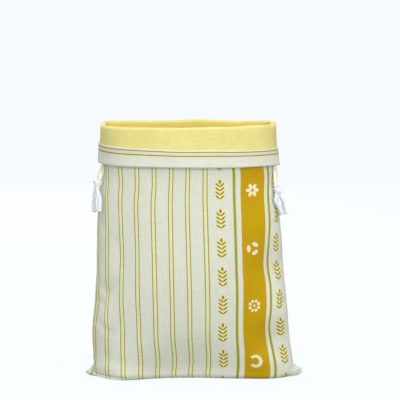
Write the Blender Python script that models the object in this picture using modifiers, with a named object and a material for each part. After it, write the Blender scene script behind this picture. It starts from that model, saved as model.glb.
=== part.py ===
"""A lined cotton bread bag.

It stands open, with its top turned down as a cuff and its drawcord showing at both sides.

Run with: blender --background --python part.py
Metres, +Z up, the front faces -Y. The origin is on the floor, under the middle of the bag's box.
"""

import math
from collections import namedtuple

import bmesh
import bpy
from mathutils import Vector

# The cut: two panels sewn together along their sides and bottom
FLAT_WIDTH = 0.320  # from side seam to side seam, as the bag lies flat
EAR = 0.0125  # how far each bottom corner stands out past the wall
EAR_COLUMNS = (0.0, 0.0042, 0.0083, EAR)  # distances from a side seam
MIDDLE_STEPS = 14  # across a panel between its two corners

# The layers of cloth, and the air between them
CANVAS = 0.0012
LINING = 0.0010
CASING = 0.0010
LAYER_GAP = 0.0004
LINING_DEPTH = CANVAS + LAYER_GAP  # from the printed side to the lining's own side
CASING_DEPTH = LINING_DEPTH + LINING + LAYER_GAP

# The profile, from the floor up and over the rim
RIM_TOP = 0.372
TURN_RADIUS = 0.0013  # inside the fold at the rim
TURN_HEIGHT = RIM_TOP - TURN_RADIUS - LINING_DEPTH - LINING
CUFF_EDGE = 0.3155  # height of the cuff's lower edge
CUFF_FLARE = 0.0012  # how much further out the lower edge hangs
SIDE_FLARE = 0.0024  # and how much more at the side seams, where the cord comes out
SIDE_FLARE_REACH = 0.026
LEFT_RISE = 0.0022  # how much higher its lower edge is at the left side seam
RIGHT_DIP = 0.0018  # and how much lower at the right one
TILT_REACH = 0.050
CASING_TOP = 0.3402
CASING_START = 2  # the column where each casing strip begins
FOOT_RADIUS = 0.010  # where the wall turns under
FOOT_SHARE = 0.35  # the most of the way in that the turn may take
CANVAS_SEAM_SHARE = 0.90  # how much of the flat width each bottom seam keeps
LINING_SEAM_SHARE = 0.84

# The corners of the canvas, up along the cloth: 0.010 is where the turn from the floor meets the wall.
# reach is how far a corner stands out from the wall towards its tip.
Lip = namedtuple("Lip", "along reach height")
EAR_LIPS = (
    Lip(-0.0060, 0.60, 0.0000),
    Lip(-0.0007, 1.00, 0.0032),
    Lip(0.0030, 1.00, 0.0060),
    Lip(0.0100, 0.50, 0.0104),
    Lip(0.0160, 0.12, 0.0160),
    Lip(0.0200, 0.00, 0.0200),
)
BASE_SHARES = (0.0, 0.5, 1.0)
FOOT_ANGLES = (30.0, 60.0)
WALL_HEIGHTS = (FOOT_RADIUS, 0.0165, 0.030, 0.058, 0.092, 0.130, 0.170, 0.212, 0.254, 0.286)
CUFF_HEIGHTS = (CUFF_EDGE, CASING_TOP, TURN_HEIGHT)
TURN_ANGLES = (45.0, 90.0, 135.0)

# The drawcord
CORD = 0.0044  # diameter
TAIL = 0.0058  # diameter of its ends, where the strands have opened
CORD_STEP = 0.006  # between the points of a tube
KNOT_WIDTH = 0.0150
KNOT_HEIGHT = 0.0092
KNOT_ROUND = 0.0020
KNOT_SIDES = 16
CORD_TO_KNOT = 0.0007

# The bag's plan at each height. left and right are its furthest points, front and back how far its panels
# stand out from the side seams, and square is how boxy the plan is, from 2 for an ellipse.
SEAM_Y = 0.0082
Section = namedtuple("Section", "height left right front back square")
SECTIONS = (
    Section(0.000, -0.1470, 0.1460, 0.037, 0.032, 2.15),
    Section(0.018, -0.1475, 0.1465, 0.039, 0.034, 2.15),
    Section(0.040, -0.1490, 0.1438, 0.043, 0.037, 2.20),
    Section(0.064, -0.1495, 0.1408, 0.047, 0.039, 2.25),
    Section(0.110, -0.1455, 0.1366, 0.053, 0.042, 2.35),
    Section(0.152, -0.1425, 0.1320, 0.057, 0.044, 2.45),
    Section(0.226, -0.1405, 0.1260, 0.060, 0.045, 2.50),
    Section(0.275, -0.1380, 0.1215, 0.061, 0.045, 2.50),
    Section(0.302, -0.1314, 0.1166, 0.0615, 0.045, 2.50),
    Section(0.325, -0.1293, 0.1139, 0.0615, 0.045, 2.50),
    Section(0.372, -0.1292, 0.1135, 0.0600, 0.044, 2.45),
)

# Soft folds in the walls. across is measured along the panel from the left side seam, as seen from the front,
# wide and tall are half sizes, lean is how far the fold moves across for each metre up, and push is outwards.
FRONT, BACK = 0, 1
Fold = namedtuple("Fold", "panel across height wide tall lean push")
FOLDS = (
    Fold(FRONT, 0.160, 0.008, 0.066, 0.044, 0.0, -0.0140),
    Fold(FRONT, 0.052, 0.018, 0.036, 0.040, 0.3, 0.0070),
    Fold(FRONT, 0.062, 0.002, 0.030, 0.014, 0.0, 0.0075),
    Fold(FRONT, 0.274, 0.020, 0.030, 0.034, -0.4, 0.0070),
    Fold(FRONT, 0.036, 0.128, 0.022, 0.020, 0.6, -0.0040),
    Fold(FRONT, 0.024, 0.082, 0.024, 0.026, 0.5, 0.0032),
    Fold(FRONT, 0.066, 0.196, 0.026, 0.060, 0.1, -0.0030),
    Fold(FRONT, 0.276, 0.166, 0.026, 0.028, 0.0, -0.0055),
    Fold(FRONT, 0.284, 0.102, 0.026, 0.026, 0.1, 0.0045),
    Fold(FRONT, 0.276, 0.058, 0.024, 0.020, 0.0, -0.0040),
    Fold(FRONT, 0.272, 0.226, 0.028, 0.036, 0.0, 0.0035),
    Fold(FRONT, 0.150, 0.150, 0.080, 0.080, 0.0, 0.0030),
    Fold(FRONT, 0.012, 0.292, 0.020, 0.026, 0.0, -0.0025),
    Fold(BACK, 0.160, 0.014, 0.070, 0.034, 0.0, -0.0060),
    Fold(BACK, 0.090, 0.120, 0.034, 0.060, 0.4, -0.0060),
    Fold(BACK, 0.226, 0.160, 0.030, 0.075, -0.3, -0.0055),
    Fold(BACK, 0.158, 0.210, 0.040, 0.060, 0.0, 0.0040),
    Fold(BACK, 0.270, 0.080, 0.028, 0.030, 0.3, 0.0045),
    Fold(BACK, 0.052, 0.236, 0.030, 0.040, 0.0, 0.0040),
)

# Where each knot hangs beside the wall. forward is measured along the cloth from the side seam towards the
# front, and out from the cloth to the middle of the knot.
LEFT, RIGHT = -1, 1
Beside = namedtuple("Beside", "height forward out")
KNOTS = {
    LEFT: Beside(0.2895, 0.0195, 0.0085),
    RIGHT: Beside(0.2795, 0.0294, 0.0085),
}
HALF_KNOT = KNOT_HEIGHT / 2 + CORD_TO_KNOT

# The drawcord's stretches, given in the same way. Both upper ones of a side come out from under the cuff and
# end on the knot, and its two tails hang from the knot to their free ends.
CORDS = {
    "cord_left_1": (LEFT, CORD, (
        Beside(0.3250, 0.0120, 0.0027),
        Beside(0.3145, 0.0135, 0.0028),
        Beside(0.3070, 0.0180, 0.0048),
        Beside(0.3010, 0.0220, 0.0080),
        Beside(0.2895 + HALF_KNOT, 0.0228, 0.0085),
    )),
    "cord_left_2": (LEFT, CORD, (
        Beside(0.3250, 0.0058, 0.0027),
        Beside(0.3145, 0.0068, 0.0028),
        Beside(0.3070, 0.0108, 0.0050),
        Beside(0.3010, 0.0152, 0.0080),
        Beside(0.2895 + HALF_KNOT, 0.0162, 0.0085),
    )),
    "tail_left_1": (LEFT, TAIL, (
        Beside(0.2895 - HALF_KNOT, 0.0232, 0.0084),
        Beside(0.2800, 0.0240, 0.0081),
        Beside(0.2730, 0.0280, 0.0067),
        Beside(0.2640, 0.0306, 0.0059),
        Beside(0.2495, 0.0302, 0.0058),
    )),
    "tail_left_2": (LEFT, TAIL, (
        Beside(0.2895 - HALF_KNOT, 0.0154, 0.0084),
        Beside(0.2790, 0.0151, 0.0082),
        Beside(0.2690, 0.0155, 0.0076),
        Beside(0.2580, 0.0160, 0.0074),
        Beside(0.2465, 0.0170, 0.0072),
    )),
    "cord_right_1": (RIGHT, CORD, (
        Beside(0.3250, 0.0135, 0.0027),
        Beside(0.3145, 0.0160, 0.0028),
        Beside(0.3060, 0.0220, 0.0042),
        Beside(0.2980, 0.0280, 0.0066),
        Beside(0.2920, 0.0316, 0.0084),
        Beside(0.2795 + HALF_KNOT, 0.0328, 0.0085),
    )),
    "cord_right_2": (RIGHT, CORD, (
        Beside(0.3250, 0.0065, 0.0027),
        Beside(0.3145, 0.0078, 0.0028),
        Beside(0.3060, 0.0124, 0.0044),
        Beside(0.2980, 0.0190, 0.0068),
        Beside(0.2920, 0.0244, 0.0084),
        Beside(0.2795 + HALF_KNOT, 0.0260, 0.0085),
    )),
    "tail_right_1": (RIGHT, TAIL, (
        Beside(0.2795 - HALF_KNOT, 0.0332, 0.0082),
        Beside(0.2700, 0.0340, 0.0076),
        Beside(0.2640, 0.0345, 0.0060),
        Beside(0.2565, 0.0295, 0.0054),
        Beside(0.2440, 0.0210, 0.0056),
    )),
    "tail_right_2": (RIGHT, TAIL, (
        Beside(0.2795 - HALF_KNOT, 0.0254, 0.0085),
        Beside(0.2690, 0.0250, 0.0086),
        Beside(0.2620, 0.0188, 0.0088),
        Beside(0.2550, 0.0146, 0.0085),
        Beside(0.2435, 0.0116, 0.0098),
    )),
}

COLOURS = {
    "canvas": (0.68, 0.69, 0.60),
    "lining": (0.78, 0.72, 0.27),
    "casing": (0.72, 0.74, 0.65),
    "cord": (0.86, 0.87, 0.88),
}
ROUGHNESS = 0.9
CLOSE = 1e-6


def smooth_between(rows, height):
    """The sections' values at a height, on a curve that passes through every row."""
    height = min(max(height, rows[0].height), rows[-1].height)
    i = max(k for k in range(len(rows) - 1) if rows[k].height <= height)
    below, above = rows[i], rows[i + 1]
    span = above.height - below.height
    share = (height - below.height) / span

    def slope(k, column):
        first, last = rows[max(k - 1, 0)], rows[min(k + 1, len(rows) - 1)]
        return (last[column] - first[column]) / (last.height - first.height)

    values = []
    for column in range(1, len(below)):
        rise = above[column] - below[column]
        start = slope(i, column) * span
        end = slope(i + 1, column) * span
        values.append(
            below[column]
            + start * share
            + (3 * rise - 2 * start - end) * share**2
            + (start + end - 2 * rise) * share**3
        )
    return Section(height, *values)


def half_plan(section, front):
    """A fine line along one panel, from the left side seam to the right one."""
    steps = 180
    middle = (section.left + section.right) / 2
    half = (section.right - section.left) / 2
    depth = -section.front if front else section.back
    power = 2 / section.square
    line = []
    for k in range(steps + 1):
        turn = math.pi * k / steps
        across = math.copysign(abs(math.cos(turn)) ** power, math.cos(turn))
        line.append(Vector((middle - half * across, depth * abs(math.sin(turn)) ** power)))
    return line


def spaced(line, shares):
    """The points at these shares of a line's length."""
    along = [0.0]
    for a, b in zip(line, line[1:]):
        along.append(along[-1] + (b - a).length)
    points = []
    k = 0
    for share in shares:
        at = share * along[-1]
        while k < len(line) - 2 and along[k + 1] < at:
            k += 1
        step = (at - along[k]) / (along[k + 1] - along[k])
        points.append(line[k].lerp(line[k + 1], step))
    return points


def columns_across():
    """Distances of the grid's columns from the left side seam."""
    left = list(EAR_COLUMNS)
    clear = FLAT_WIDTH - 2 * EAR
    middle = [EAR + clear * k / MIDDLE_STEPS for k in range(1, MIDDLE_STEPS)]
    right = [FLAT_WIDTH - d for d in reversed(left)]
    return left + middle + right


ACROSS = columns_across()
PANEL_STEPS = len(ACROSS) - 1
AROUND = 2 * PANEL_STEPS


def column_place(i):
    """The panel of a column counted round the bag from the left seam, and its distance from that seam."""
    if i <= PANEL_STEPS:
        return FRONT, ACROSS[i]
    return BACK, ACROSS[AROUND - i]


def fold_push(panel, across, height):
    """How far the folds move the cloth outwards."""
    push = 0.0
    for fold in FOLDS:
        if fold.panel == panel:
            up = height - fold.height
            aside = across - fold.across - fold.lean * up
            push += fold.push * math.exp(-((aside / fold.wide) ** 2) - (up / fold.tall) ** 2)
    seam_fade = min(across, FLAT_WIDTH - across) / EAR
    return push * min(1.0, seam_fade)


def outline(height, made={}):
    """The printed side's plan at a height, as (point, outward direction) for each column round the bag."""
    if height not in made:
        section = smooth_between(SECTIONS, height)
        shares = [d / FLAT_WIDTH for d in ACROSS]
        front = spaced(half_plan(section, True), shares)
        back = spaced(half_plan(section, False), shares)
        ring = front + back[-2:0:-1]
        outward = directions(ring)
        pushed = []
        for i, (point, out) in enumerate(zip(ring, outward)):
            panel, across = column_place(i)
            pushed.append(point + out * fold_push(panel, across, height))
        made[height] = list(zip(pushed, directions(pushed)))
    return made[height]


def directions(ring):
    """The outward direction at each point of a closed line that runs anticlockwise from above."""
    found = []
    for i, point in enumerate(ring):
        before = (point - ring[i - 1]).normalized()
        after = (ring[(i + 1) % len(ring)] - point).normalized()
        along = (before + after).normalized()
        found.append(Vector((along.y, -along.x)))
    return found


def on_wall(i, height, depth):
    """A point of the standing wall, depth inwards from the printed side."""
    point, out = outline(height)[i % AROUND]
    point = point - out * depth
    return Vector((point.x, point.y + SEAM_Y, height))


def standing(i, height, depth):
    """A point of the standing wall, with the bottom corners where it is the canvas's."""
    point = on_wall(i, height, depth)
    return point if depth else with_ear(i, point, height)


def in_turn(i, angle, depth):
    """A point of the fold at the rim: 0 degrees is at the wall and 180 at the cuff."""
    point, out = outline(TURN_HEIGHT)[i % AROUND]
    radius = TURN_RADIUS + depth
    turn = math.radians(angle)
    point = point + out * (TURN_RADIUS - radius * math.cos(turn))
    return Vector((point.x, point.y + SEAM_Y, TURN_HEIGHT + radius * math.sin(turn)))


def on_cuff(i, height, depth):
    """A point of the cuff, which hangs outside the wall with its lining outwards."""
    point, out = outline(height)[i % AROUND]
    _, across = column_place(i % AROUND)
    aside = min(across, FLAT_WIDTH - across) / SIDE_FLARE_REACH
    drop = (TURN_HEIGHT - height) / (TURN_HEIGHT - CUFF_EDGE)
    flare = (CUFF_FLARE + SIDE_FLARE * math.exp(-(aside**2))) * drop
    point = point + out * (2 * TURN_RADIUS + depth + flare)
    return Vector((point.x, point.y + SEAM_Y, height + cuff_tilt(across) * drop))


def cuff_tilt(across):
    """How much higher the cuff's lower edge hangs at a distance from the left side seam."""
    rise = LEFT_RISE * math.exp(-((across / TILT_REACH) ** 2))
    return rise - RIGHT_DIP * math.exp(-(((FLAT_WIDTH - across) / TILT_REACH) ** 2))


def under_bag(i, share, inset, height, depth, seam_share):
    """A point where the cloth runs in under the bag: share is 1 at the foot's edge, 0 at the bottom seam."""
    _, across = column_place(i % AROUND)
    seam = Vector((seam_share * (across - FLAT_WIDTH / 2), SEAM_Y))
    wall = on_wall(i, FOOT_RADIUS, depth).xy
    inwards = seam - wall
    tight = min(1.0, FOOT_SHARE * inwards.length / FOOT_RADIUS)
    edge = wall + inwards.normalized() * inset * tight
    point = seam.lerp(edge, share)
    return Vector((point.x, point.y, height))


def along_foot(angle):
    """How far up the cloth an angle of its turn is, on the same scale as the wall's heights."""
    return FOOT_RADIUS * (1.6 * angle / 90 - 0.6)


def lip_at(along):
    """The corner's reach and height between those of its table."""
    along = min(along, EAR_LIPS[-1].along)
    k = max(n for n in range(len(EAR_LIPS) - 1) if EAR_LIPS[n].along <= along)
    a, b = EAR_LIPS[k], EAR_LIPS[k + 1]
    share = (along - a.along) / (b.along - a.along)
    return Lip(along, a.reach + (b.reach - a.reach) * share, a.height + (b.height - a.height) * share)


def with_ear(i, point, along):
    """A point of the canvas low down, moved out where it belongs to one of the bottom corners."""
    if along >= EAR_LIPS[-1].along:
        return point
    lip = lip_at(along)
    _, across = column_place(i % AROUND)
    near = max(0.0, 1 - min(across, FLAT_WIDTH - across) / EAR)
    side = -1 if across < FLAT_WIDTH / 2 else 1
    wall = on_wall(i, max(along, FOOT_RADIUS), 0.0).x
    corner = wall + (side * FLAT_WIDTH / 2 - wall) * lip.reach
    return Vector((point.x + (corner - point.x) * near, point.y, point.z + (lip.height - point.z) * near))


def canvas_rows():
    """The printed cloth from its bottom seam to the cuff's edge: one function of the column for each row."""

    def foot(i, angle):
        inset, height = foot_turn(angle, FOOT_RADIUS)
        point = under_bag(i, 1.0, inset, height, 0.0, CANVAS_SEAM_SHARE)
        return with_ear(i, point, along_foot(angle))

    def base(i, share):
        seam = under_bag(i, 0.0, 0.0, 0.0, 0.0, CANVAS_SEAM_SHARE)
        return seam.lerp(foot(i, 0.0), share)

    rows = [lambda i, share=share: base(i, share) for share in BASE_SHARES]
    rows += [lambda i, angle=angle: foot(i, angle) for angle in FOOT_ANGLES]
    return rows + wall_and_cuff_rows(0.0)


def lining_rows():
    """The lining, which stands inside the canvas and covers the cuff."""
    radius = FOOT_RADIUS - LINING_DEPTH

    def base(i, share):
        return under_bag(i, share, radius, LINING_DEPTH, LINING_DEPTH, LINING_SEAM_SHARE)

    def foot(i, angle):
        inset, height = foot_turn(angle, radius)
        return under_bag(i, 1.0, inset, height, LINING_DEPTH, LINING_SEAM_SHARE)

    rows = [lambda i, share=share: base(i, share) for share in BASE_SHARES]
    rows += [lambda i, angle=angle: foot(i, angle) for angle in FOOT_ANGLES]
    return rows + wall_and_cuff_rows(LINING_DEPTH)


def foot_turn(angle, radius):
    """How far in and how high the cloth is at an angle of its turn from the floor to the wall."""
    turn = math.radians(angle)
    return radius * (1 - math.sin(turn)), FOOT_RADIUS - radius * math.cos(turn)


def wall_and_cuff_rows(depth):
    """The standing wall, the fold at the rim and the cuff."""
    rows = []
    for height in WALL_HEIGHTS + CUFF_HEIGHTS:
        rows.append(lambda i, height=height: standing(i, height, depth))
    for angle in TURN_ANGLES:
        rows.append(lambda i, angle=angle: in_turn(i, angle, depth))
    for height in reversed(CUFF_HEIGHTS):
        rows.append(lambda i, height=height: on_cuff(i, height, depth))
    return rows


def grid_cloth(name, columns, rows, thickness, collection, material):
    """A sheet of cloth: a flat grid moved to its place, sewn where its edges meet and given its thickness."""
    bm = bmesh.new()
    across, up = len(columns) - 1, len(rows) - 1
    bmesh.ops.create_grid(bm, x_segments=across, y_segments=up, size=1.0)
    for vertex in bm.verts:
        i = round((vertex.co.x + 1) / 2 * across)
        j = round((vertex.co.y + 1) / 2 * up)
        vertex.co = rows[j](columns[i])
    bmesh.ops.remove_doubles(bm, verts=bm.verts, dist=CLOSE)
    mesh = bpy.data.meshes.new(name)
    bm.to_mesh(mesh)
    bm.free()
    mesh.shade_smooth()
    cloth = bpy.data.objects.new(name, mesh)
    collection.objects.link(cloth)
    mesh.materials.append(material)
    solidify = cloth.modifiers.new("thickness", "SOLIDIFY")
    solidify.thickness = thickness
    solidify.offset = -1.0
    return cloth


def casing_strip(name, panel, collection, material):
    """One of the two strips that hold the drawcord, sewn on the cuff's lower part."""
    columns = list(range(CASING_START, PANEL_STEPS - CASING_START + 1))
    if panel == BACK:
        columns = [PANEL_STEPS + i for i in columns]
    rows = []
    for height in reversed(CUFF_HEIGHTS):
        if height <= CASING_TOP:
            rows.append(lambda i, height=height: on_cuff(i, height, CASING_DEPTH))
    return grid_cloth(name, columns, rows, CASING, collection, material)


def beside_wall(side, place):
    """A point beside the standing wall, near one of its side seams."""
    ring = outline(place.height)
    step = 1 if side == LEFT else -1
    i = 0 if side == LEFT else PANEL_STEPS
    left_over = place.forward
    while True:
        (start, start_out), (end, end_out) = ring[i], ring[i + step]
        length = (end - start).length
        if left_over <= length:
            break
        left_over -= length
        i += step
    share = left_over / length
    point = start.lerp(end, share) + start_out.lerp(end_out, share).normalized() * place.out
    return Vector((point.x, point.y + SEAM_Y, place.height))


def smooth_line(points, step):
    """Points about a step apart on a curve through the points of a route."""
    route = list(points)
    line = [route[0]]
    fine = 12
    for k in range(len(route) - 1):
        a = route[max(k - 1, 0)]
        b, c = route[k], route[k + 1]
        d = route[min(k + 2, len(route) - 1)]
        for n in range(1, fine + 1):
            t = n / fine
            bend = 2 * a - 5 * b + 4 * c - d
            twist = 3 * b - a - 3 * c + d
            line.append(b + 0.5 * ((c - a) * t + bend * t**2 + twist * t**3))
    length = sum((b - a).length for a, b in zip(line, line[1:]))
    count = max(2, round(length / step))
    return spaced(line, [k / count for k in range(count + 1)])


def cord_tube(name, collection, material):
    """A stretch of the drawcord."""
    side, diameter, places = CORDS[name]
    points = smooth_line([beside_wall(side, place) for place in places], CORD_STEP)
    curve = bpy.data.curves.new(name, "CURVE")
    curve.dimensions = "3D"
    curve.bevel_depth = diameter / 2
    curve.bevel_resolution = 2
    curve.use_fill_caps = True
    spline = curve.splines.new("POLY")
    spline.points.add(len(points) - 1)
    for target, point in zip(spline.points, points):
        target.co = (*point, 1.0)
    tube = bpy.data.objects.new(name, curve)
    collection.objects.link(tube)
    curve.materials.append(material)
    return tube


def knot(name, side, collection, material):
    """The drawcord's knot on one side, as a rounded drum."""
    bm = bmesh.new()
    bmesh.ops.create_cone(
        bm,
        cap_ends=True,
        segments=KNOT_SIDES,
        radius1=KNOT_WIDTH / 2,
        radius2=KNOT_WIDTH / 2,
        depth=KNOT_HEIGHT,
    )
    bmesh.ops.translate(bm, verts=bm.verts, vec=beside_wall(side, KNOTS[side]))
    mesh = bpy.data.meshes.new(name)
    bm.to_mesh(mesh)
    bm.free()
    mesh.materials.append(material)
    drum = bpy.data.objects.new(name, mesh)
    collection.objects.link(drum)
    bevel = drum.modifiers.new("rounding", "BEVEL")
    bevel.width = KNOT_ROUND
    bevel.segments = 2
    bevel.limit_method = "ANGLE"
    return drum


def cloth_material(name):
    material = bpy.data.materials.new(name)
    material.use_nodes = True
    shader = material.node_tree.nodes["Principled BSDF"]
    shader.inputs["Base Color"].default_value = (*COLOURS[name], 1.0)
    shader.inputs["Roughness"].default_value = ROUGHNESS
    shader.inputs["Metallic"].default_value = 0.0
    return material


def clear_scene():
    for item in list(bpy.data.objects):
        bpy.data.objects.remove(item)


def main():
    clear_scene()
    collection = bpy.data.collections.new("bread_bag")
    bpy.context.scene.collection.children.link(collection)
    materials = {name: cloth_material(name) for name in COLOURS}
    around = list(range(AROUND + 1))
    grid_cloth("outer_bag", around, canvas_rows(), CANVAS, collection, materials["canvas"])
    grid_cloth("lining", around, lining_rows(), LINING, collection, materials["lining"])
    casing_strip("casing_front", FRONT, collection, materials["casing"])
    casing_strip("casing_back", BACK, collection, materials["casing"])
    for name in CORDS:
        cord_tube(name, collection, materials["cord"])
    knot("knot_left", LEFT, collection, materials["cord"])
    knot("knot_right", RIGHT, collection, materials["cord"])


main()
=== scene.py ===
"""The looks of a lined cotton bread bag that stands open with its top turned down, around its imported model.

Metres, +Z up. The printed front faces -Y.
"""

import math
from collections import namedtuple

import bmesh
import bpy
from mathutils import Matrix, Vector, noise


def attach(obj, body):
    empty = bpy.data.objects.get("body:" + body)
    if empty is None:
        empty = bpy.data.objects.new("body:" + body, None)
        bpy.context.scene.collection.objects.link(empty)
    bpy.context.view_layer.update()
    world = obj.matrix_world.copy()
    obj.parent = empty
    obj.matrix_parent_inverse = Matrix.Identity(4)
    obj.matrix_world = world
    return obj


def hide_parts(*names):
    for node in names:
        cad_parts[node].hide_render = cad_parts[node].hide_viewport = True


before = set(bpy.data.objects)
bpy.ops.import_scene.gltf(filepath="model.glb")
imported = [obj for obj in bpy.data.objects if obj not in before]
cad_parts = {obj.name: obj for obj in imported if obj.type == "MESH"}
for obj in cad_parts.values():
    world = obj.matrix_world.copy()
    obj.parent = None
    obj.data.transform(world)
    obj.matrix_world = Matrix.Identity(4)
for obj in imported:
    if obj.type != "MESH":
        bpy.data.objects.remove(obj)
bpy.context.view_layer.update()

# Camera: as far off, as high and as long as the photograph's view asks for
CAMERA_AT = (0.009, -2.06, 0.540)
CAMERA_AIM = (0.009, 0.0, 0.2620)
LENS = 129.1
SENSOR = 36.0

# Paper and lights
BACKDROP = "#f7fbfe"
PAPER = "#fdfdfd"
SKY = "#f4f8ff"
FLOOR_SIZE = 12.0
FLOOR_DROP = 0.0004
PAPER_SHADOW = 0.05  # how much of the paper's light comes from the lamps
PAPER_GLOW = 1.015
PAPER_BOUNCE = 0.26  # how bright the paper is to the bag
AMBIENT = 0.56
LIGHTS_AIM = (0.0, 0.0, 0.18)
Light = namedtuple("Light", "name place size power")
LIGHTS = (
    Light("key_light", (0.95, -1.50, 0.85), 0.8, 14.5),
    Light("front_light", (0.15, -1.60, 0.04), 0.5, 9.5),
    Light("fill_light", (-1.9, -1.0, 0.8), 1.2, 12.0),
    Light("top_light", (0.1, -0.3, 1.7), 1.0, 10.0),
    Light("back_light", (-0.7, 1.9, 1.1), 1.0, 26.0),
)

# The print, in millimetres of the flat cloth: across from the left side seam, up from the floor
PAIR_HALF = 2.75
PAIR_PITCH = 25.0
FIRST_PAIR = 10.7
THIN_LINE = 1.42
BORDER_START = 197.0
BORDER_END = 318.0
WIDE_LINES = (225.9, 278.6)
WIDE_LINE = 3.8
BAND_CENTRE = 253.2
BAND_WIDTH = 36.2
WHEAT_COLUMNS = (206.0, 295.8)
SECOND_COLUMN_LIFT = 3.9
WHEAT_PITCH = 41.8
WHEAT_CENTRE = 242.0
GRAIN_ROWS = 4
GRAIN_PITCH = 5.85
TOP_GRAINS = 4.1  # the highest pair of grains, above the ear's middle
GRAIN_SLOPE = 0.75
# A grain in its row, the grain on top and the tint round the ear, all from the ear's middle
Oval = namedtuple("Oval", "across half_width up half_height")
GRAIN = Oval(3.1, 3.2, 0.0, 1.45)
TOP_GRAIN = Oval(0.0, 1.6, 11.0, 3.0)
WHEAT_GROUND = Oval(0.0, 6.6, -0.6, 15.2)
BADGE_CENTRE = 252.4
BADGE_TOP = 281.6
BADGE_PITCH = 84.0
# Each ornament is so many ovals in a ring: the first one's turn in degrees, and the oval along its own radius
Badge = namedtuple("Badge", "count start oval")
BADGES = (
    Badge(6, 0.0, Oval(6.0, 4.0, 0.0, 2.4)),
    Badge(3, 60.0, Oval(6.8, 3.0, 0.0, 5.3)),
    Badge(8, 22.5, Oval(7.2, 2.2, 0.0, 2.2)),
    Badge(14, 0.0, Oval(8.0, 2.6, 0.0, 1.9)),
)
DOT_RING, WREATH = 2, 3
DOT_RING_HEART = 1.7
BADGE_SLACK = 0.25  # for telling the ornaments' numbers apart
WREATH_REACH = 140.0  # degrees either way from its right side
CASING_PAIR = 5.7  # below the strip's upper edge
CASING_TINT_FADE = 4.0
# Threads are 0.5 to 0.7 mm apart on such cloths, and are drawn about twice as coarse so that they show
CANVAS_THREAD = 1.3
LINING_THREAD = 1.1
CANVAS_SLUB = 14.0
LINING_SLUB = 10.0
SLUB_SCALE = 0.55
LINING_SEAM_LINE = 1.0
DYE_CLOUDS = 0.035  # to a millimetre, so each is about 29 mm across

CANVAS_GROUND = "#d6d8c6"
STRIPE_TINT = "#dedaae"
CASING_TINT = "#d7d3b0"
WHEAT_TINT = "#e4da98"
OLIVE_INK = "#9c9a14"
GRAIN_INK = "#8d8020"
OCHRE_INK = "#be9801"
CASING_INK = "#8c8236"
BADGE_WHITE = "#ebe2c0"
LINING_DEEP = "#dace7a"
LINING_PALE = "#e3db92"
# Painted light: the warmer yellow of the lining inside the bag, for light that shines through the cloth and
# bounces inside
LINING_PAINTED_GLOW = "#e8d070"
# Partly painted shade: the dark line along the lining's side seams, the doubled seam itself and the shade of
# the folds it draws in
LINING_SEAM_AND_SHADE = "#a8964a"
CORD_WHITE = "#fbfcfe"
CORD_SHADE = "#e6e9f0"
# Painted shade: the cream cast of the cords above the knots, where they hang in the cuff's shade
CORD_PAINTED_SHADE = "#fdf6d6"
THREAD_CREAM = "#f1eede"
THREAD_SHADE = "#dcd8c2"

# How uneven the threads' shades are, and the weave's relief in metres
CANVAS_CONTRAST = 0.055
STRIP_CONTRAST = 0.050
LINING_CONTRAST = 0.050
WEAVE_DEPTH = 0.00035
CROSSING_SHARE = 0.30
FIBRE_DEPTH = 0.0003
# The painted shade above the knots, a cream tint: the heights where it starts and is full, and its share
# there
PAINTED_SHADE_FROM = 0.284
PAINTED_SHADE_FULL = 0.298
PAINTED_SHADE_SHARE = 0.75
# How many of the cord's fibres and of the sewing thread's plies are drawn to a metre
FIBRES = 1200.0
PLIES = 900.0

# The cut and its layers, as in the part's source
FLAT_WIDTH = 0.320
EAR = 0.0125
CANVAS = 0.0012
LINING = 0.0010
CASING = 0.0010
LAYER_GAP = 0.0004
LINING_DEPTH = CANVAS + LAYER_GAP
CASING_DEPTH = LINING_DEPTH + LINING + LAYER_GAP
RIM_TOP = 0.372
TURN_RADIUS = 0.0013
TURN_HEIGHT = RIM_TOP - TURN_RADIUS - LINING_DEPTH - LINING
CUFF_EDGE = 0.3155
CUFF_FLARE = 0.0012
SIDE_FLARE = 0.0024
SIDE_FLARE_REACH = 0.026
RIGHT_DIP = 0.0018
TILT_REACH = 0.050
CASING_TOP = 0.3402
CASING_START = 0.0083
FOOT_RADIUS = 0.010
FOOT_SHARE = 0.35
CANVAS_SEAM_SHARE = 0.90
LINING_SEAM_SHARE = 0.84
SEAM_Y = 0.0082

# The scene's own fine shape: the cuff's sway and its rise near the left seam, and the casing strips' rise
SWAY_OUT = 0.00044
LEFT_RISE = 0.0034
CASING_RISE = 0.0048
CASING_RISE_REACH = 0.110

# How finely the cloth is divided: across, nearest a seam first, then up from the bottom seam
SEAM_COLUMNS = (0.0, 0.0009, 0.0019, 0.0031, 0.0045, 0.0062, CASING_START, 0.0104, EAR)
MIDDLE_STEPS = 94
PLAN_STEPS = 360
BASE_FROM = -0.034
BASE_SPAN = 0.028
BASE_STEPS = 5
FOOT_ANGLES = tuple(6.0 * k for k in range(15))
FOOT_SPAN = 1.6  # the foot's turn from the floor to the wall, in foot radii
FOOT_BELOW = 0.6  # how much of that counts as below the floor
WALL_STEP = 0.0031
TURN_ANGLES = (22.5, 45.0, 67.5, 90.0, 112.5, 135.0, 157.5)
CLOSE = 1e-6

# The cord, and the yarns that come loose at its ends
CORD = 0.0044
TAIL = 0.0058
KNOT_WIDTH = 0.0150
KNOT_HEIGHT = 0.0092
CORD_TO_KNOT = 0.0007
STRANDS = 3
STRAND_SHARE = 0.25
STRAND_SIDES = 8
STRAND_TIP = 0.7
RING_STEP = 0.0009
TWIST_PITCH = 0.0125
TAIL_OPENS = 0.10
OPEN_APART = 0.45
OPEN_WIDTH = 0.15
YARNS = 21
YARN = 0.0010
YARN_TAPER = 0.4
YARN_SIDES = 5
YARN_STEPS = 7
YARN_TURN = 0.9
YARN_UNEVEN = 0.035
FRAY_FROM = 0.70
FRAY_START = 0.8
FRAY_SPREAD = 1.25
FRAY_STAGGER = 3
GOLDEN_ANGLE = 2.39996

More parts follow.
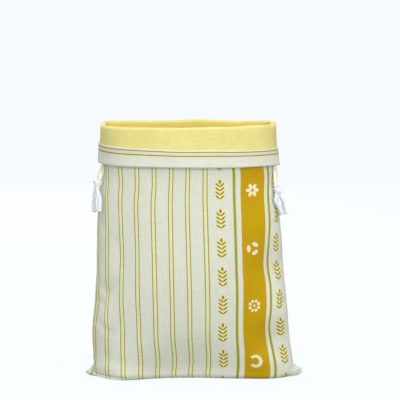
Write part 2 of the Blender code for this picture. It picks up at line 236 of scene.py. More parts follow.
Section = namedtuple("Section", "height left right front back square")
SECTIONS = (
    Section(0.000, -0.1470, 0.1460, 0.037, 0.032, 2.15),
    Section(0.018, -0.1475, 0.1465, 0.039, 0.034, 2.15),
    Section(0.040, -0.1490, 0.1438, 0.043, 0.037, 2.20),
    Section(0.064, -0.1495, 0.1408, 0.047, 0.039, 2.25),
    Section(0.110, -0.1455, 0.1366, 0.053, 0.042, 2.35),
    Section(0.152, -0.1425, 0.1320, 0.057, 0.044, 2.45),
    Section(0.226, -0.1405, 0.1260, 0.060, 0.045, 2.50),
    Section(0.275, -0.1380, 0.1215, 0.061, 0.045, 2.50),
    Section(0.302, -0.1314, 0.1166, 0.0615, 0.045, 2.50),
    Section(0.325, -0.1293, 0.1139, 0.0615, 0.045, 2.50),
    Section(0.372, -0.1292, 0.1135, 0.0600, 0.044, 3.10),
)

# Soft folds of the walls: where, half sizes, how far each moves across for a metre up, and its push outwards
FRONT, BACK = 0, 1
Fold = namedtuple("Fold", "panel across height wide tall lean push")
FOLDS = (
    Fold(FRONT, 0.160, 0.008, 0.066, 0.044, 0.0, -0.0140),
    Fold(FRONT, 0.052, 0.018, 0.036, 0.040, 0.3, 0.0070),
    Fold(FRONT, 0.062, 0.002, 0.030, 0.014, 0.0, 0.0075),
    Fold(FRONT, 0.034, 0.018, 0.028, 0.008, 0.0, 0.0024),
    Fold(FRONT, 0.274, 0.020, 0.030, 0.034, -0.4, 0.0070),
    Fold(FRONT, 0.036, 0.128, 0.022, 0.020, 0.6, -0.0032),
    Fold(FRONT, 0.024, 0.082, 0.024, 0.026, 0.5, 0.0032),
    Fold(FRONT, 0.066, 0.196, 0.026, 0.060, 0.1, -0.0030),
    Fold(FRONT, 0.276, 0.166, 0.026, 0.028, 0.0, -0.0055),
    Fold(FRONT, 0.284, 0.102, 0.026, 0.026, 0.1, 0.0045),
    Fold(FRONT, 0.276, 0.058, 0.024, 0.020, 0.0, -0.0040),
    Fold(FRONT, 0.272, 0.226, 0.028, 0.036, 0.0, 0.0035),
    Fold(FRONT, 0.150, 0.150, 0.080, 0.080, 0.0, 0.0030),
    Fold(FRONT, 0.012, 0.292, 0.020, 0.026, 0.0, -0.0025),
    Fold(BACK, 0.160, 0.014, 0.070, 0.034, 0.0, -0.0060),
    Fold(BACK, 0.090, 0.120, 0.034, 0.060, 0.4, -0.0060),
    Fold(BACK, 0.226, 0.160, 0.030, 0.075, -0.3, -0.0055),
    Fold(BACK, 0.158, 0.210, 0.040, 0.060, 0.0, 0.0040),
    Fold(BACK, 0.270, 0.080, 0.028, 0.030, 0.3, 0.0045),
    Fold(BACK, 0.052, 0.236, 0.030, 0.040, 0.0, 0.0040),
)

# Where the cloth has slipped along the bag, and how far to the right
Slide = namedtuple("Slide", "panel across height wide tall slip")
SLIDES = (
    Slide(FRONT, 0.050, 0.200, 0.045, 0.055, 0.0024),
    Slide(FRONT, 0.045, 0.075, 0.045, 0.035, 0.0030),
    Slide(FRONT, 0.130, 0.000, 0.090, 0.026, -0.0056),
    Slide(FRONT, 0.172, 0.160, 0.030, 0.300, -0.0020),
    Slide(FRONT, 0.136, 0.120, 0.014, 0.090, -0.0008),
    Slide(FRONT, 0.045, 0.255, 0.024, 0.028, 0.0013),
    Slide(FRONT, 0.012, 0.205, 0.014, 0.045, 0.0034),
    Slide(FRONT, 0.280, 0.180, 0.038, 0.065, -0.0042),
    Slide(FRONT, 0.276, 0.088, 0.040, 0.034, -0.0044),
    Slide(FRONT, 0.276, 0.150, 0.030, 0.018, 0.0016),
    Slide(FRONT, 0.282, 0.000, 0.026, 0.030, 0.0014),
    Slide(FRONT, 0.235, 0.030, 0.020, 0.060, 0.0012),
    Slide(FRONT, 0.030, 0.318, 0.030, 0.022, -0.0070),
    Slide(FRONT, 0.070, 0.316, 0.050, 0.020, -0.0024),
    Slide(FRONT, 0.085, 0.282, 0.045, 0.014, 0.0012),
    Slide(FRONT, 0.034, 0.235, 0.012, 0.050, 0.0022),
    Slide(FRONT, 0.055, 0.000, 0.035, 0.010, 0.0030),
    Slide(FRONT, 0.268, 0.306, 0.034, 0.022, 0.0048),
    Slide(FRONT, 0.284, 0.306, 0.009, 0.020, 0.0042),
    Slide(FRONT, 0.284, 0.084, 0.009, 0.016, -0.0026),
    Slide(FRONT, 0.300, 0.205, 0.016, 0.024, -0.0055),
    Slide(FRONT, 0.300, 0.112, 0.016, 0.022, -0.0050),
    Slide(FRONT, 0.012, 0.115, 0.016, 0.070, 0.0072),
    Slide(FRONT, 0.254, 0.030, 0.014, 0.014, -0.0028),
)

# Thin creases, each a line across a panel with its half width and its push outwards
Crease = namedtuple("Crease", "panel from_across from_height to_across to_height wide push")
CREASES = (
    Crease(FRONT, 0.004, 0.150, 0.046, 0.128, 0.0050, -0.0009),
    Crease(FRONT, 0.006, 0.132, 0.040, 0.118, 0.0045, 0.0008),
    Crease(FRONT, 0.004, 0.118, 0.034, 0.108, 0.0045, -0.0008),
    Crease(FRONT, 0.044, 0.222, 0.070, 0.150, 0.0110, -0.0014),
    Crease(FRONT, 0.010, 0.090, 0.050, 0.066, 0.0055, -0.0012),
    Crease(FRONT, 0.012, 0.250, 0.034, 0.214, 0.0060, -0.0012),
    Crease(FRONT, 0.020, 0.014, 0.040, 0.046, 0.0060, -0.0014),
    Crease(FRONT, 0.296, 0.016, 0.280, 0.050, 0.0060, -0.0016),
    Crease(FRONT, 0.312, 0.180, 0.284, 0.160, 0.0055, -0.0014),
    Crease(FRONT, 0.312, 0.120, 0.286, 0.098, 0.0055, -0.0012),
    Crease(FRONT, 0.310, 0.262, 0.288, 0.224, 0.0060, -0.0012),
    Crease(BACK, 0.010, 0.170, 0.060, 0.140, 0.0060, -0.0016),
    Crease(BACK, 0.308, 0.140, 0.262, 0.112, 0.0060, -0.0015),
    Crease(BACK, 0.120, 0.060, 0.190, 0.052, 0.0060, 0.0012),
)

# Where the rim stands higher: the place on it, the half width, and by how much
RimLift = namedtuple("RimLift", "panel across wide rise")
RIM_LIFTS = (
    RimLift(FRONT, 0.000, 0.012, 0.0036),
    RimLift(BACK, 0.000, 0.060, 0.0036),
    RimLift(FRONT, 0.320, 0.014, 0.0036),
    RimLift(BACK, 0.320, 0.060, 0.0036),
    RimLift(BACK, 0.160, 0.075, 0.0024),
    RimLift(FRONT, 0.262, 0.038, 0.0026),
)
RIM_LIFT_FROM = 0.338
RIM_LIFT_FULL = 0.368

# Soft waves that all cloth has: their height, how many go to a metre along and up, and where the noise starts
Wave = namedtuple("Wave", "height along up start")
BROAD_WAVE = Wave(0.0011, 17, 9, (0, 4, 0))
FINE_WAVE = Wave(0.0004, 48, 30, (9, 0, 0))
RIM_WAVE = Wave(0.0016, 15, 0, (0, 0, 3.1))
RIM_WAVE_FROM = 0.300
RIM_WAVE_FULL = 0.350
CUFF_SWAY = Wave(0.0011, 13, 10, (0, 0, 20))
HEM_WAVE = Wave(0.0012, 11, 0, (0, 0, 7.7))

# Sharp folds in the front's foot, at an angle of its turn from the floor to the wall
Pinch = namedtuple("Pinch", "across wide angle half_angle lean push")
PINCHES = (
    Pinch(0.034, 0.029, 62.0, 9.0, -250.0, -0.0013),
    Pinch(0.034, 0.029, 34.0, 14.0, -250.0, 0.0026),
)

# Topstitching along the casing strips
STITCH_PITCH = 0.0031
STITCH_LONG = 0.0025
STITCH_THICK = 0.0007
STITCH_INSET = 0.0022
STITCH_END = 0.0030
STITCH_AHEAD = 0.25 * STITCH_PITCH
STITCH_SUNK = 0.00005

# The groove along a side seam, and the puckers beside it
SEAM_GROOVE = 0.0006
SEAM_HALF = 0.0016
PUCKER = 0.0008
PUCKER_PITCH = 0.0075
PUCKER_REACH = 0.0080
PUCKERS_ACROSS = 4
PUCKER_SEED = 1.7

# How far creases run past their ends, fade towards them, and spread, as shares of their length and half width
CREASE_OVERRUN = 0.3
CREASE_FADE = 0.42
CREASE_SPREAD = 3

# The bottom corners, from the floor up: how far each stands out towards its tip, and how high its edge is
LEFT, RIGHT = -1, 1
Lip = namedtuple("Lip", "along reach height")
EAR_LIPS = {
    LEFT: (
        Lip(-0.0060, 0.60, 0.0000),
        Lip(-0.0007, 1.00, 0.0032),
        Lip(0.0030, 1.00, 0.0060),
        Lip(0.0100, 0.50, 0.0104),
        Lip(0.0160, 0.12, 0.0160),
        Lip(0.0200, 0.00, 0.0200),
    ),
    RIGHT: (
        Lip(-0.0060, 0.60, 0.0000),
        Lip(-0.0007, 0.96, 0.0036),
        Lip(0.0030, 1.00, 0.0066),
        Lip(0.0078, 0.94, 0.0108),
        Lip(0.0112, 0.52, 0.0138),
        Lip(0.0150, 0.12, 0.0164),
        Lip(0.0200, 0.00, 0.0200),
    ),
}
LIP_END = 0.0200
EAR_RAG = 0.16
EAR_RAG_PITCH = 0.0021
EAR_RAG_SEED = (0.4, 2.3)

# The drawcord, beside the wall: height, distance forwards from the side seam, and out from the cloth
Beside = namedtuple("Beside", "height forward out")
KNOTS = {
    LEFT: Beside(0.2895, 0.0195, 0.0085),
    RIGHT: Beside(0.2795, 0.0294, 0.0085),
}
HALF_KNOT = KNOT_HEIGHT / 2 + CORD_TO_KNOT
CORDS = {
    "cord_left_1": (LEFT, CORD, (
        Beside(0.3250, 0.0120, 0.0027),
        Beside(0.3145, 0.0135, 0.0028),
        Beside(0.3070, 0.0180, 0.0048),
        Beside(0.3010, 0.0220, 0.0080),
        Beside(0.2895 + HALF_KNOT, 0.0228, 0.0085),
    )),
    "cord_left_2": (LEFT, CORD, (
        Beside(0.3250, 0.0058, 0.0027),
        Beside(0.3145, 0.0068, 0.0028),
        Beside(0.3070, 0.0108, 0.0050),
        Beside(0.3010, 0.0152, 0.0080),
        Beside(0.2895 + HALF_KNOT, 0.0162, 0.0085),
    )),
    "tail_left_1": (LEFT, TAIL, (
        Beside(0.2895 - HALF_KNOT, 0.0232, 0.0084),
        Beside(0.2800, 0.0240, 0.0081),
        Beside(0.2730, 0.0280, 0.0067),
        Beside(0.2640, 0.0306, 0.0059),
        Beside(0.2495, 0.0302, 0.0058),
    )),
    "tail_left_2": (LEFT, TAIL, (
        Beside(0.2895 - HALF_KNOT, 0.0154, 0.0084),
        Beside(0.2790, 0.0151, 0.0082),
        Beside(0.2690, 0.0155, 0.0076),
        Beside(0.2580, 0.0160, 0.0074),
        Beside(0.2465, 0.0170, 0.0072),
    )),
    "cord_right_1": (RIGHT, CORD, (
        Beside(0.3250, 0.0135, 0.0027),
        Beside(0.3145, 0.0160, 0.0028),
        Beside(0.3060, 0.0220, 0.0042),
        Beside(0.2980, 0.0280, 0.0066),
        Beside(0.2920, 0.0316, 0.0084),
        Beside(0.2795 + HALF_KNOT, 0.0328, 0.0085),
    )),
    "cord_right_2": (RIGHT, CORD, (
        Beside(0.3250, 0.0065, 0.0027),
        Beside(0.3145, 0.0078, 0.0028),
        Beside(0.3060, 0.0124, 0.0044),
        Beside(0.2980, 0.0190, 0.0068),
        Beside(0.2920, 0.0244, 0.0084),
        Beside(0.2795 + HALF_KNOT, 0.0260, 0.0085),
    )),
    "tail_right_1": (RIGHT, TAIL, (
        Beside(0.2795 - HALF_KNOT, 0.0332, 0.0082),
        Beside(0.2700, 0.0340, 0.0076),
        Beside(0.2640, 0.0345, 0.0060),
        Beside(0.2565, 0.0295, 0.0054),
        Beside(0.2440, 0.0210, 0.0056),
    )),
    "tail_right_2": (RIGHT, TAIL, (
        Beside(0.2795 - HALF_KNOT, 0.0254, 0.0085),
        Beside(0.2690, 0.0250, 0.0086),
        Beside(0.2620, 0.0188, 0.0088),
        Beside(0.2550, 0.0146, 0.0085),
        Beside(0.2435, 0.0116, 0.0098),
    )),
}


def linear(hex_colour):
    """An sRGB hex colour as linear red, green, blue and alpha."""
    values = [int(hex_colour[k:k + 2], 16) / 255 for k in (1, 3, 5)]
    return (*[v / 12.92 if v <= 0.04045 else ((v + 0.055) / 1.055) ** 2.4 for v in values], 1.0)


# Shape of the cloth


def bell(away, reach):
    """1 at a middle and ever less away from it, on a soft curve that is nearly 0 at twice its reach."""
    return math.exp(-((away / reach) ** 2))


def from_seam(across):
    """The distance to the nearer side seam."""
    return min(across, FLAT_WIDTH - across)


def smooth_between(rows, height):
    """The sections' values at a height, on a curve that passes through every row."""
    height = min(max(height, rows[0].height), rows[-1].height)
    i = max(k for k in range(len(rows) - 1) if rows[k].height <= height)
    below, above = rows[i], rows[i + 1]
    span = above.height - below.height
    share = (height - below.height) / span

    def slope(k, column):
        first, last = rows[max(k - 1, 0)], rows[min(k + 1, len(rows) - 1)]
        return (last[column] - first[column]) / (last.height - first.height)

    values = []
    for column in range(1, len(below)):
        rise = above[column] - below[column]
        start = slope(i, column) * span
        end = slope(i + 1, column) * span
        values.append(
            below[column]
            + start * share
            + (3 * rise - 2 * start - end) * share**2
            + (start + end - 2 * rise) * share**3
        )
    return Section(height, *values)


def half_plan(section, front):
    """A fine line along one panel, from the left side seam to the right one."""
    middle = (section.left + section.right) / 2
    half = (section.right - section.left) / 2
    depth = -section.front if front else section.back
    power = 2 / section.square
    line = []
    for k in range(PLAN_STEPS + 1):
        turn = math.pi * k / PLAN_STEPS
        across = math.copysign(abs(math.cos(turn)) ** power, math.cos(turn))
        line.append(Vector((middle - half * across, depth * abs(math.sin(turn)) ** power)))
    return line


def length_of(line):
    """A line's length."""
    return sum((b - a).length for a, b in zip(line, line[1:]))


def spaced(line, shares):
    """The points at these shares of a line's length."""
    along = [0.0]
    for a, b in zip(line, line[1:]):
        along.append(along[-1] + (b - a).length)
    points = []
    k = 0
    for share in shares:
        at = share * along[-1]
        while k < len(line) - 2 and along[k + 1] < at:
            k += 1
        points.append(line[k].lerp(line[k + 1], (at - along[k]) / (along[k + 1] - along[k])))
    return points


def columns_across():
    """Distances of the cloth's columns from the left side seam, closest together at the seams."""
    clear = FLAT_WIDTH - 2 * EAR
    middle = [EAR + clear * k / MIDDLE_STEPS for k in range(1, MIDDLE_STEPS)]
    return [*SEAM_COLUMNS, *middle, *[FLAT_WIDTH - d for d in reversed(SEAM_COLUMNS)]]


ACROSS = columns_across()
PANEL_STEPS = len(ACROSS) - 1
AROUND = 2 * PANEL_STEPS


def column_place(i):
    """The panel of a column counted round the bag from the left seam, and its distance from that seam."""
    i %= AROUND
    if i <= PANEL_STEPS:
        return FRONT, ACROSS[i]
    return BACK, ACROSS[AROUND - i]


def fold_push(panel, across, height):
    """How far the folds and creases move the cloth outwards."""
    push = 0.0
    for fold in FOLDS:
        if fold.panel == panel:
            up = height - fold.height
            aside = across - fold.across - fold.lean * up
            push += fold.push * bell(aside, fold.wide) * bell(up, fold.tall)
    push *= min(1.0, from_seam(across) / EAR)
    for crease in CREASES:
        if crease.panel == panel:
            push += crease.push * crease_share(crease, across, height)
    return push


def seam_push(across, height):
    """The groove of a side seam, and the small puckers that its stitches draw beside it."""
    aside = from_seam(across)
    pucker = noise.noise(Vector((across * PUCKERS_ACROSS, height / PUCKER_PITCH, PUCKER_SEED)))
    return PUCKER * pucker * bell(aside, PUCKER_REACH) - SEAM_GROOVE * bell(aside, SEAM_HALF)


def slipped(panel, across, height):
    """Where a column really lies along its panel, with the cloth's slipping."""
    place = across
    edge = min(1.0, from_seam(across) / EAR)
    for slide in SLIDES:
        if slide.panel == panel:
            near = bell(across - slide.across, slide.wide) * bell(height - slide.height, slide.tall)
            place += edge * slide.slip * near
    return place


def crease_share(crease, across, height):
    """How strongly a crease acts at a place: 1 on the middle of its line and 0 away from it."""
    start = Vector((crease.from_across, crease.from_height))
    line = Vector((crease.to_across, crease.to_height)) - start
    place = Vector((across, height)) - start
    along = place.dot(line) / line.length_squared
    if not -CREASE_OVERRUN < along < 1 + CREASE_OVERRUN:
        return 0.0
    aside = abs(place.cross(line)) / line.length
    if aside > CREASE_SPREAD * crease.wide:
        return 0.0
    return bell(aside, crease.wide) * math.exp(-(((along - 0.5) / CREASE_FADE) ** 4))


def wave_at(wave, point, height):
    """How far a soft wave moves the cloth, at a point of its plan and a height."""
    x, y, z = wave.start
    place = Vector((point.x * wave.along + x, point.y * wave.along + y, height * wave.up + z))
    return wave.height * noise.noise(place)


def directions(ring):
    """The outward direction at each point of a closed line that runs anticlockwise from above."""
    found = []
    for i, point in enumerate(ring):
        before = (point - ring[i - 1]).normalized()
        after = (ring[(i + 1) % len(ring)] - point).normalized()
        along = (before + after).normalized()
        found.append(Vector((along.y, -along.x)))
    return found


OUTLINES = {}


def outline(height):
    """The printed side's plan at a height, as (point, outward direction) for each column round the bag."""
    height = round(height, 6)
    if height not in OUTLINES:
        section = smooth_between(SECTIONS, height)
        front = spaced(half_plan(section, True), [slipped(FRONT, d, height) / FLAT_WIDTH for d in ACROSS])
        back = spaced(half_plan(section, False), [slipped(BACK, d, height) / FLAT_WIDTH for d in ACROSS])
        ring = front + back[-2:0:-1]
        pushed = []
        for i, (point, out) in enumerate(zip(ring, directions(ring))):
            panel, across = column_place(i)
            waves = wave_at(BROAD_WAVE, point, height) + wave_at(FINE_WAVE, point, height)
            push = fold_push(panel, across, height) + waves
            pushed.append(point + out * (push + seam_push(across, height)))
        OUTLINES[height] = list(zip(pushed, directions(pushed)))
    return OUTLINES[height]


def eased(value, start, end):
    """0 up to start and 1 from end on, with a smooth change between them."""
    share = min(1.0, max(0.0, (value - start) / (end - start)))
    return share * share * (3 - 2 * share)


def rim_wave(i, height):
    """How much the rim and the cuff rise or dip at a column."""
    point, _ = outline(TURN_HEIGHT)[i % AROUND]
    panel, across = column_place(i)
    lift = sum(row.rise * bell(across - row.across, row.wide) for row in RIM_LIFTS if row.panel == panel)
    wave = wave_at(RIM_WAVE, point, height) * eased(height, RIM_WAVE_FROM, RIM_WAVE_FULL)
    return wave + lift * eased(height, RIM_LIFT_FROM, RIM_LIFT_FULL)


def on_wall(i, height, depth):
    """A point of the standing wall, depth inwards from the printed side."""
    point, out = outline(height)[i % AROUND]
    point = point - out * depth
    return Vector((point.x, point.y + SEAM_Y, height + rim_wave(i, height)))


def standing(i, height, depth):
    """A point of the standing wall, with the bottom corners where it is the canvas's."""
    point = on_wall(i, height, depth)
    return point if depth else with_ear(i, point, height)


def in_turn(i, angle, depth):
    """A point of the fold at the rim: 0 degrees is at the wall and 180 at the cuff."""
    point, out = outline(TURN_HEIGHT)[i % AROUND]
    radius = TURN_RADIUS + depth
    turn = math.radians(angle)
    point = point + out * (TURN_RADIUS - radius * math.cos(turn))
    height = TURN_HEIGHT + radius * math.sin(turn) + rim_wave(i, TURN_HEIGHT)
    return Vector((point.x, point.y + SEAM_Y, height))


def on_cuff(i, height, depth):
    """A point of the cuff, which hangs outside the wall with its lining outwards."""
    point, out = outline(height)[i % AROUND]
    _, across = column_place(i)
    drop = (TURN_HEIGHT - height) / (TURN_HEIGHT - CUFF_EDGE)
    sway = wave_at(CUFF_SWAY, point, height) + SWAY_OUT
    flare = (CUFF_FLARE + SIDE_FLARE * bell(from_seam(across), SIDE_FLARE_REACH) + sway) * drop
    point = point + out * (2 * TURN_RADIUS + depth + flare)
    edge = cuff_tilt(across) + wave_at(HEM_WAVE, point, height)
    return Vector((point.x, point.y + SEAM_Y, height + rim_wave(i, height) + edge * drop))


def on_casing(i, height, depth):
    """A point of a casing strip, which is sewn on a little higher near the left side seam."""
    _, across = column_place(i)
    share = (height - CUFF_EDGE) / (CASING_TOP - CUFF_EDGE)
    rise = CASING_RISE * bell(across, CASING_RISE_REACH) * share
    return on_cuff(i, height, depth) + Vector((0.0, 0.0, rise))


def cuff_tilt(across):
    """How much higher the cuff's lower edge hangs at a distance from the left side seam."""
    return LEFT_RISE * bell(across, TILT_REACH) - RIGHT_DIP * bell(FLAT_WIDTH - across, TILT_REACH)


def foot_turn(angle, radius):
    """How far in and how high the cloth is at an angle of its turn from the floor to the wall."""
    turn = math.radians(angle)
    return radius * (1 - math.sin(turn)), FOOT_RADIUS - radius * math.cos(turn)


def under_bag(i, share, inset, height, depth, seam_share):
    """A point where the cloth runs in under the bag: share is 1 at the foot's edge, 0 at the bottom seam."""
    _, across = column_place(i)
    seam = Vector((seam_share * (across - FLAT_WIDTH / 2), SEAM_Y))
    wall = on_wall(i, FOOT_RADIUS, depth).xy
    inwards = seam - wall
    tight = min(1.0, FOOT_SHARE * inwards.length / FOOT_RADIUS)
    edge = wall + inwards.normalized() * inset * tight
    point = seam.lerp(edge, share)
    return Vector((point.x, point.y, height))


def pinched(i, point, angle):
    """A point of the canvas's foot, moved where the front's bottom is folded sharply near the left corner."""
    panel, across = column_place(i)
    if panel == BACK:
        return point
    _, out = outline(FOOT_RADIUS)[i % AROUND]
    for fold in PINCHES:
        aside = (across - fold.across) / fold.wide
        turn = (angle - fold.angle - fold.lean * (across - fold.across)) / fold.half_angle
        point = point + out.to_3d() * fold.push * math.exp(-(aside**4) - turn**2)
    return point


def along_foot(angle):
    """How far up the cloth an angle of its turn is, on the same scale as the wall's heights."""
    return FOOT_RADIUS * (FOOT_SPAN * angle / 90 - FOOT_BELOW)


def lip_at(side, along):
    """A corner's reach and height between those of its table. The right one's edge is a little ragged."""
    lips = EAR_LIPS[side]
    k = max(n for n in range(len(lips) - 1) if lips[n].along <= along)
    a, b = lips[k], lips[k + 1]
    share = (along - a.along) / (b.along - a.along)
    reach = a.reach + (b.reach - a.reach) * share
    if side == RIGHT:
        reach *= 1 - EAR_RAG * abs(noise.noise(Vector((along / EAR_RAG_PITCH, *EAR_RAG_SEED))))
    return Lip(along, reach, a.height + (b.height - a.height) * share)


def with_ear(i, point, along):
    """A point of the canvas low down, moved out where it belongs to one of the bottom corners."""
    if along >= LIP_END:
        return point
    _, across = column_place(i)
    side = LEFT if across < FLAT_WIDTH / 2 else RIGHT
    lip = lip_at(side, along)
    near = max(0.0, 1 - from_seam(across) / EAR)
    wall = on_wall(i, max(along, FOOT_RADIUS), 0.0).x
    corner = wall + (side * FLAT_WIDTH / 2 - wall) * lip.reach
    return Vector((point.x + (corner - point.x) * near, point.y, point.z + (lip.height - point.z) * near))


def steps_between(start, end, step):
    """Evenly spaced values from start to end, about a step apart."""
    count = max(1, round(abs(end - start) / step))
    return [start + (end - start) * k / count for k in range(count + 1)]


WALL_HEIGHTS = (
    steps_between(FOOT_RADIUS, CUFF_EDGE, WALL_STEP)
    + steps_between(CUFF_EDGE, CASING_TOP, WALL_STEP)[1:]
    + steps_between(CASING_TOP, TURN_HEIGHT, WALL_STEP)[1:]
)
CUFF_HEIGHTS = [h for h in reversed(WALL_HEIGHTS) if h > CUFF_EDGE - CLOSE]


def cloth_rows(depth, foot, base):
    """A cloth from its bottom seam to the cuff's edge, as rows of (distance up the cloth, column's place)."""
    rows = []
    for k in range(BASE_STEPS):
        along = BASE_FROM + BASE_SPAN * k / BASE_STEPS
        rows.append((along, lambda i, share=k / BASE_STEPS: base(i, share)))
    for angle in FOOT_ANGLES:
        rows.append((along_foot(angle), lambda i, angle=angle: foot(i, angle)))
    for height in WALL_HEIGHTS:
        rows.append((height, lambda i, height=height: standing(i, height, depth)))
    turn_length = math.pi * (TURN_RADIUS + depth)
    for angle in TURN_ANGLES:
        along = TURN_HEIGHT + turn_length * angle / 180
        rows.append((along, lambda i, angle=angle: in_turn(i, angle, depth)))
    for height in CUFF_HEIGHTS:
        along = 2 * TURN_HEIGHT + turn_length - height
        rows.append((along, lambda i, height=height: on_cuff(i, height, depth)))
    return rows


def canvas_rows():
    """The printed cloth, with its foot pinched near the left corner and its two bottom corners."""

    def foot(i, angle):
        inset, height = foot_turn(angle, FOOT_RADIUS)
        point = under_bag(i, 1.0, inset, height, 0.0, CANVAS_SEAM_SHARE)
        return with_ear(i, pinched(i, point, angle), along_foot(angle))

    def base(i, share):
        seam = under_bag(i, 0.0, 0.0, 0.0, 0.0, CANVAS_SEAM_SHARE)
        return seam.lerp(foot(i, 0.0), share)

    return cloth_rows(0.0, foot, base)


def lining_rows():
    """The lining, which stands inside the canvas and covers the cuff."""
    radius = FOOT_RADIUS - LINING_DEPTH

    def foot(i, angle):
        inset, height = foot_turn(angle, radius)
        return under_bag(i, 1.0, inset, height, LINING_DEPTH, LINING_SEAM_SHARE)

    def base(i, share):
        return under_bag(i, share, radius, LINING_DEPTH, LINING_DEPTH, LINING_SEAM_SHARE)

    return cloth_rows(LINING_DEPTH, foot, base)


def new_piece(name, bm, material):
    """The object of a finished mesh, smooth all over."""
    mesh = bpy.data.meshes.new(name)
    bm.to_mesh(mesh)
    bm.free()
    mesh.shade_smooth()
    mesh.materials.append(material)
    piece = bpy.data.objects.new(name, mesh)
    bpy.context.scene.collection.objects.link(piece)
    return piece


def cloth_piece(name, columns, rows, thickness, material):
    """A sheet of cloth. Its UV map is in metres of the flat cloth: round the bag, and up from its foot."""
    bm = bmesh.new()
    across, up = len(columns) - 1, len(rows) - 1
    bmesh.ops.create_grid(bm, x_segments=across, y_segments=up, size=1.0)
    uv_layer = bm.loops.layers.uv.new("flat_cloth")

    def on_grid(vertex):
        i = round((vertex.co.x + 1) / 2 * across)
        j = round((vertex.co.y + 1) / 2 * up)
        return columns[i], rows[j]

    for face in bm.faces:
        for loop in face.loops:
            column, row = on_grid(loop.vert)
            loop[uv_layer].uv = (flat_across(column), row[0])
    for vertex in bm.verts:
        column, row = on_grid(vertex)
        vertex.co = row[1](column)
    bmesh.ops.remove_doubles(bm, verts=bm.verts, dist=CLOSE)
    cloth = new_piece(name, bm, material)
    solidify = cloth.modifiers.new("thickness", "SOLIDIFY")
    solidify.thickness = thickness
    solidify.offset = -1.0
    return cloth


def flat_across(i):
    """How far round the flat cloth a column is, from the left seam and on past the right one for the back."""
    if i <= PANEL_STEPS:
        return ACROSS[i]
    return 2 * FLAT_WIDTH - ACROSS[2 * PANEL_STEPS - i]


# Cords


def beside_wall(side, place):
    """A point beside the standing wall, near one of its side seams."""
    ring = outline(place.height)
    step = 1 if side == LEFT else -1
    i = 0 if side == LEFT else PANEL_STEPS
    left_over = place.forward
    while True:
        (start, start_out), (end, end_out) = ring[i], ring[i + step]
        length = (end - start).length
        if left_over <= length:
            break
        left_over -= length
        i += step
    share = left_over / length
    point = start.lerp(end, share) + start_out.lerp(end_out, share).normalized() * place.out
    return Vector((point.x, point.y + SEAM_Y, place.height))


def smooth_line(route, step):
    """Points about a step apart on a curve through the points of a route."""
    line = [route[0]]
    fine = 12
    for k in range(len(route) - 1):
        a = route[max(k - 1, 0)]
        b, c = route[k], route[k + 1]
        d = route[min(k + 2, len(route) - 1)]
        for n in range(1, fine + 1):
            t = n / fine
            square = (2 * a - 5 * b + 4 * c - d) * t**2
            cube = (3 * b - a - 3 * c + d) * t**3
            line.append(0.5 * (2 * b + (c - a) * t + square + cube))
    count = max(2, round(length_of(line) / step))
    return spaced(line, [k / count for k in range(count + 1)])


def add_ring(bm, centre, a, b, radius, sides):
    """A ring of a yarn's or strand's points, in the plane of two directions."""
    turns = [2 * math.pi * k / sides for k in range(sides)]
    return [bm.verts.new(centre + (a * math.cos(turn) + b * math.sin(turn)) * radius) for turn in turns]


def join_rings(bm, rings):
    """The faces from each ring to the next."""
    for low, high in zip(rings, rings[1:]):
        for k in range(len(low)):
            n = (k + 1) % len(low)
            bm.faces.new((low[k], low[n], high[n], high[k]))


def add_loose_yarns(bm, line, diameter):
    """The loose yarns at a tail's end: each leaves the strands and hangs on a path of its own."""
    last = len(line) - 1
    first = int(FRAY_FROM * last)
    onwards = line[-1] - line[-2]
    side = (line[-1] - line[first]).orthogonal().normalized()
    across = (line[-1] - line[first]).normalized().cross(side)
    for n in range(YARNS):
        away = diameter / 2 * math.sqrt((n + 0.5) / YARNS)
        # They leave the strands at five places, and their lengths differ a little, in mixed order
        start = first + FRAY_STAGGER * (n % 5)
        reach = 1.0 + YARN_UNEVEN * (n * 7 % 11) / 10
        rings = []
        for k in range(YARN_STEPS + 1):
            share = k / YARN_STEPS
            place = (start + (last - start) * share) * reach
            low = min(int(place), last - 1)
            point = line[low].lerp(line[low + 1], min(place, last) - low)
            point = point + onwards * max(0.0, place - last)
            turn = GOLDEN_ANGLE * n + YARN_TURN * share
            spread = away * (FRAY_START + (FRAY_SPREAD - FRAY_START) * share**2)
            centre = point + (side * math.cos(turn) + across * math.sin(turn)) * spread
            width = YARN / 2 * (1.0 - YARN_TAPER * share**3)
            rings.append(add_ring(bm, centre, side, across, width, YARN_SIDES))
        join_rings(bm, rings)
        bm.faces.new(list(reversed(rings[0])))
        bm.faces.new(rings[-1])


def frames_along(line, closed):
    """For each point of a line: it, two directions square to the line there, and the length so far."""
    frames = []
    length = 0.0
    up = (line[1] - line[0]).orthogonal().normalized()
    last = len(line) - 1
    for k, point in enumerate(line):
        before = line[k - 1] if k or closed else point
        after = line[(k + 1) % len(line)] if k < last or closed else point
        tangent = (after - before).normalized()
        up = (up - tangent * up.dot(tangent)).normalized()
        frames.append((point, up.copy(), tangent.cross(up), length))
        if k < last:
            length += (line[k + 1] - point).length
    return frames


